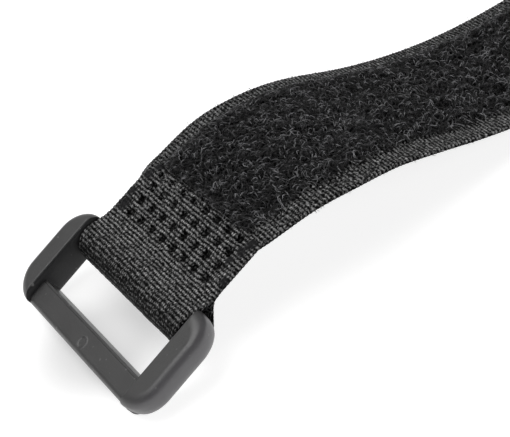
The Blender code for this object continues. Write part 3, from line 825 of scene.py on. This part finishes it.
fibre_look = fibre_material()
pile_shares = (np.arange(PILE_PIECES + 1) / PILE_PIECES) ** 1.35
pile_marks = PILE_START + (PILE_END - PILE_START) * pile_shares
for index in range(PILE_PIECES):
    at = rng.uniform(pile_marks[index] + 0.0002, pile_marks[index + 1], FIBRES_A_PIECE)
    across = rng.uniform(-PILE_HALF, PILE_HALF, FIBRES_A_PIECE)
    at, across, lift = fibre_paths(at, across, rng)
    across = np.clip(across, -PILE_HALF - 0.0008, PILE_HALF + 0.0008)
    near_edge = np.clip((np.abs(across) - PILE_HALF + 0.0012) / 0.0018, 0.0, 1.0)
    edge_fall = 1.0 - PILE_EDGE_FALL * near_edge
    ground = HALF_TAPE + 0.55 * PILE_BASE * edge_fall
    height = ground + lift * edge_fall + PILE_LUMP[0] * ripple(at, across, *PILE_LUMP[1:])
    paths = on_tape(np.clip(at, PILE_START - 0.0006, PILE_END + 0.0004), across, -height)
    radii = FIBRE_RADIUS * rng.uniform(*FIBRE_THICKNESS, FIBRES_A_PIECE)
    fibre_piece(f"loop_pile_{index + 1}", paths, radii, rng.uniform(0.0, 1.0, FIBRES_A_PIECE) ** 1.6)


# The frayed weft turns along both edges of the tape, which stand out as short fine ends.

FRAY_COUNT = 420
FRAY_RADIUS = 0.000028
FRAY_OUT = (0.0002, 0.0006)     # how far an end stands out of the edge
FRAY_SWAY = (-0.0004, 0.0004)   # how far it bends along the tape
FRAY_RISE = (-0.0002, 0.0004)
FRAY_LEVEL = (-0.0003, 0.0003)  # where in the tape's thickness it leaves
FRAY_SHADE = (0.2, 0.9)


def fray_paths(count, draw):
    """Short curved ends that leave the tape's edge sideways and droop or rise a little."""
    side = draw.choice([-1.0, 1.0], count)
    at = draw.uniform(FOLD_END + WELD_LENGTH, TAPE_LENGTH - TAB_LENGTH, count)
    t = np.linspace(0.0, 1.0, 5)[None, :]
    out = draw.uniform(*FRAY_OUT, count)[:, None] * t
    sway = draw.uniform(*FRAY_SWAY, count)[:, None] * t**1.5
    rise = draw.uniform(*FRAY_RISE, count)[:, None] * t**2 + draw.uniform(*FRAY_LEVEL, count)[:, None]
    return on_tape(at[:, None] + sway, side[:, None] * (HALF_WIDTH - 0.0001 + out), -rise)


fibre_piece(
    "edge_fray", fray_paths(FRAY_COUNT, rng), np.full(FRAY_COUNT, FRAY_RADIUS),
    rng.uniform(*FRAY_SHADE, FRAY_COUNT),
)


# The hook tab: a strip of black nylon with rows of moulded hooks, welded on the pile side of the
# tail. Each hook is a flat stem that curls over into a crook.

TAB_LOW, TAB_HIGH = (np.array(corner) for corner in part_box("hook_tab"))
TAB_BASE = 0.0006
HOOK_MARGIN = 0.0016
HOOK_SPACING = (0.0013, 0.00095)        # along the tab, across it
HOOK_WIDTH = 0.00032
HOOK_RADIUS = 0.00024
HOOK_STEM = (-0.00005, 0.00025, 0.0005)         # heights up the stem
STEM_THICKNESS = (0.00018, 0.00012, 0.0001)
CROOK_THICKNESS = (0.00009, 0.00004)            # where it leaves the stem, and at its point
CROOK_END = -0.45 * math.pi
TAB_STATIONS = 90
TAB_RING = 25                   # points across the top, and as many below
TAB_SOFT = 0.35                 # share of the base's height that its edges and ends lose
TAB_END_ROUND = 0.0008
HOOK_COLOUR = (0.024, 0.024, 0.025, 1.0)


def hook_shape():
    """Side view of a hook as points and half-thicknesses: a tapering stem, then most of a circle."""
    stem = np.stack([np.zeros(3), np.array(HOOK_STEM)], axis=1)
    turn = np.linspace(math.pi, CROOK_END, 7)[1:]
    circle = HOOK_RADIUS * np.stack([np.cos(turn), np.sin(turn)], axis=1)
    crook = np.array([HOOK_RADIUS, HOOK_STEM[-1]]) + circle
    thick = np.concatenate([STEM_THICKNESS, np.linspace(*CROOK_THICKNESS, len(turn))])
    return np.concatenate([stem, crook]), thick


def hook_field():
    """One hook's box-section sweep, repeated on a grid over the tab, with each row turned round
    against the next."""
    line, thick = hook_shape()
    normal = left_normals(line)
    near, far = line + normal * thick[:, None], line - normal * thick[:, None]
    half = HOOK_WIDTH / 2.0
    one = np.stack([
        np.stack([side[:, 0], np.full(len(line), y), side[:, 1]], axis=1)
        for side, y in ((near, -half), (far, -half), (far, half), (near, half))
    ], axis=1).reshape(-1, 3)
    last = 4 * (len(line) - 1)
    ends = [[3, 2, 1, 0], [last, last + 1, last + 2, last + 3]]
    faces = np.concatenate([grid_faces(len(line), 4), ends])
    inset = 1.5 * HOOK_MARGIN
    xs = np.arange(TAB_LOW[0] + inset, TAB_HIGH[0] - inset, HOOK_SPACING[0])
    ys = np.arange(TAB_LOW[1] + HOOK_MARGIN, TAB_HIGH[1] - HOOK_MARGIN, HOOK_SPACING[1])
    x, y = (values.ravel() for values in np.meshgrid(xs, ys))
    row = np.round((y - TAB_LOW[1]) / HOOK_SPACING[1]).astype(int)
    facing = np.where(row % 2 == 0, 1.0, -1.0)
    every = one[None] * np.stack([facing, facing, np.ones_like(facing)], axis=1)[:, None]
    every = every + np.stack([x, y, np.full_like(x, TAB_LOW[2] + TAB_BASE)], axis=1)[:, None]
    all_faces = faces[None] + (np.arange(len(x)) * len(one))[:, None, None]
    return every.reshape(-1, 3), all_faces.reshape(-1, 4)


def tab_base():
    """The strip under the hooks: a flat box with rounded upper edges, carried along the tab, which
    thins a little at its two ends."""
    half = TAB_HIGH[1] - 0.0001
    across = half * np.sin(np.linspace(-math.pi / 2.0, math.pi / 2.0, TAB_RING))
    top = TAB_LOW[2] + TAB_BASE * (1.0 - TAB_SOFT * (np.abs(across) / half) ** 12)
    stations = np.linspace(TAB_LOW[0], TAB_HIGH[0], TAB_STATIONS)
    grid = (TAB_STATIONS, 2 * TAB_RING)
    x = np.broadcast_to(stations[:, None], grid)
    y = np.broadcast_to(np.concatenate([across, across[::-1]]), grid)
    z = np.broadcast_to(np.concatenate([top, np.full(TAB_RING, TAB_LOW[2])]), grid).copy()
    ends = np.minimum(stations - TAB_LOW[0], TAB_HIGH[0] - stations)[:, None]
    z[:, :TAB_RING] -= TAB_SOFT * TAB_BASE * np.clip(1.0 - ends / TAB_END_ROUND, 0.0, 1.0) ** 2
    made = grid_object("hook_tab_base", np.stack([x, y, z], axis=-1))
    cap_ends(made, 2 * TAB_RING)
    return made


def hook_material():
    """Moulded black nylon with a soft gloss and a fine unevenness."""
    material, nodes, links, shader = new_material("moulded_hook_nylon", HOOK_COLOUR, 0.38)
    place = nodes.new("ShaderNodeTexCoord").outputs["Object"]
    cloud = noise(nodes, links, place, scale=700.0, detail=3.0)
    grain = noise(nodes, links, place, scale=2600.0, detail=2.0)
    links.new(ramp(nodes, links, cloud, [(0.3, 0.3), (0.7, 0.48)]), shader.inputs["Roughness"])
    bump(nodes, links, grain, 0.2, 0.00004, shader)
    return material


hook_look = hook_material()
tab = tab_base()
hooks = mesh_object("hook_field", *hook_field(), smooth=False)
close_up(hooks)
for piece in (tab, hooks):
    piece.data.materials.append(hook_look)
    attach(piece, "strap")
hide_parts("hook_tab")


# The studio: a pale table, painted darker close to the ring as painted shade, a large soft light
# overhead and a little behind the tie, a broad fill in front, and a camera that looks down along the tie
# at the angle of the photograph.

CAMERA_PLACE = (-0.11851, -0.13421, 0.11252)
CAMERA_AZIMUTH = math.radians(-19.145)
CAMERA_ELEVATION = math.radians(37.525)
CAMERA_ROLL = math.radians(-22.1)
CAMERA_LENS = 105.88
CAMERA_SENSOR = 36.0
CAMERA_CLIP = (0.005, 20.0)
LIGHT_TARGET = (-0.04, 0.0, 0.0)
KEY_LIGHT = ((-0.2, 0.3, 1.0), (1.0, 1.0), 6.0)         # place, size, power
FRONT_FILL = ((0.1, -1.0, 0.4), (1.4, 0.7), 8.0)
TABLE_SIZE = 3.0
TABLE_COLOUR = (0.52, 0.52, 0.52, 1.0)
# Less lift near the ring paints the floor round it darker: painted shade.
TABLE_LIFT = (0.40, 0.78)       # near the ring, and further off
TABLE_PAINTED_SHADE_REACH = (0.004, 0.013)
TABLE_PAINTED_SHADE_CENTRE = (-0.095, 0.001, 0.0)
WHITE = (1.0, 1.0, 1.0, 1.0)
ROOM_BEHIND = (-0.40, -0.05)    # from dark to bright, by how far a direction points behind the tie
ROOM_HORIZON = (0.24, 0.06)     # from dark to bright, by how far it points up
ROOM_BRIGHT = 0.36
ROOM_EDGE = 0.95
ROOM_DARK = 0.04


def combine(nodes, links, operation, first, second):
    """One operation on two values, each an output or a number."""
    made = nodes.new("ShaderNodeMath")
    made.operation = operation
    for socket, value in zip(made.inputs, (first, second)):
        if isinstance(value, float):
            socket.default_value = value
        else:
            links.new(value, socket)
    return made.outputs[0]


def smooth_step(nodes, links, value, reach, levels=(0.0, 1.0)):
    """A soft step of a value between two levels, over a reach."""
    made = nodes.new("ShaderNodeMapRange")
    made.interpolation_type = "SMOOTHSTEP"
    for label, number in zip(("From Min", "From Max", "To Min", "To Max"), reach + levels):
        made.inputs[label].default_value = number
    links.new(value, made.inputs["Value"])
    return made.outputs["Result"]


def studio_table():
    """A pale top. Seen by the camera or in a reflection it is lifted towards white, less so close to
    the ring, which paints shade round the ring over its real shadows."""
    bpy.ops.mesh.primitive_plane_add(size=TABLE_SIZE)
    table = bpy.context.object
    table.name = "table"
    material, nodes, links, shader = new_material("white_table", TABLE_COLOUR, 0.9)
    shader.inputs["Specular IOR Level"].default_value = 0.1
    rays = nodes.new("ShaderNodeLightPath").outputs
    seen = combine(nodes, links, "MAXIMUM", rays["Is Camera Ray"], rays["Is Glossy Ray"])
    away = nodes.new("ShaderNodeVectorMath")
    away.operation = "DISTANCE"
    away.inputs[1].default_value = TABLE_PAINTED_SHADE_CENTRE
    links.new(nodes.new("ShaderNodeTexCoord").outputs["Object"], away.inputs[0])
    # Painted shade: the floor is lifted less near the ring.
    lift = smooth_step(nodes, links, away.outputs["Value"], TABLE_PAINTED_SHADE_REACH, TABLE_LIFT)
    shader.inputs["Emission Color"].default_value = WHITE
    links.new(combine(nodes, links, "MULTIPLY", seen, lift), shader.inputs["Emission Strength"])
    table.data.materials.append(material)


def studio_world():
    """A room that is dark on the camera's side, a soft grey overhead and behind the tie, and bright
    from 14 degrees up down to the horizon. The camera sees plain white."""
    world = bpy.data.worlds.new("studio")
    bpy.context.scene.world = world
    world.use_nodes = True
    nodes, links = world.node_tree.nodes, world.node_tree.links
    background = nodes["Background"]
    background.inputs["Color"].default_value = WHITE
    axes = nodes.new("ShaderNodeSeparateXYZ")
    links.new(nodes.new("ShaderNodeTexCoord").outputs["Generated"], axes.inputs[0])
    behind = smooth_step(nodes, links, axes.outputs["Y"], ROOM_BEHIND)
    low = smooth_step(nodes, links, axes.outputs["Z"], ROOM_HORIZON)
    behind = combine(nodes, links, "MULTIPLY", behind, ROOM_BRIGHT)
    low = combine(nodes, links, "MULTIPLY", low, ROOM_EDGE)
    level = combine(nodes, links, "MAXIMUM", behind, low)
    level = combine(nodes, links, "ADD", level, ROOM_DARK)
    camera_ray = nodes.new("ShaderNodeLightPath").outputs["Is Camera Ray"]
    strength = combine(nodes, links, "MAXIMUM", level, camera_ray)
    links.new(strength, background.inputs["Strength"])


def soft_light(name, place, size, power):
    """A rectangular area light aimed at the tie."""
    lamp = bpy.data.lights.new(name, "AREA")
    lamp.shape = "RECTANGLE"
    lamp.size, lamp.size_y = size
    lamp.energy = power
    made = bpy.data.objects.new(name, lamp)
    bpy.context.scene.collection.objects.link(made)
    made.location = place
    back = Vector(np.array(place) - np.array(LIGHT_TARGET))
    made.rotation_euler = back.to_track_quat("Z", "Y").to_euler()
    return made


def studio_camera():
    """The camera, from its azimuth, elevation and roll."""
    data = bpy.data.cameras.new("camera")
    data.lens = CAMERA_LENS
    data.sensor_width = CAMERA_SENSOR
    data.clip_start, data.clip_end = CAMERA_CLIP
    camera = bpy.data.objects.new("camera", data)
    bpy.context.scene.collection.objects.link(camera)
    a, e, r = CAMERA_AZIMUTH, CAMERA_ELEVATION, CAMERA_ROLL
    back = np.array([math.sin(a) * math.cos(e), -math.cos(a) * math.cos(e), math.sin(e)])
    level = np.array([math.cos(a), math.sin(a), 0.0])
    upright = np.cross(back, level)
    right = level * math.cos(r) + upright * math.sin(r)
    up = -level * math.sin(r) + upright * math.cos(r)
    turned = Matrix(np.stack([right, up, back], axis=1).tolist()).to_4x4()
    camera.matrix_world = Matrix.Translation(CAMERA_PLACE) @ turned
    bpy.context.scene.camera = camera


studio_table()
studio_world()
studio_camera()
soft_light("key_light", *KEY_LIGHT)
soft_light("front_fill", *FRONT_FILL).visible_glossy = False
bpy.context.scene.view_settings.view_transform = "Standard"
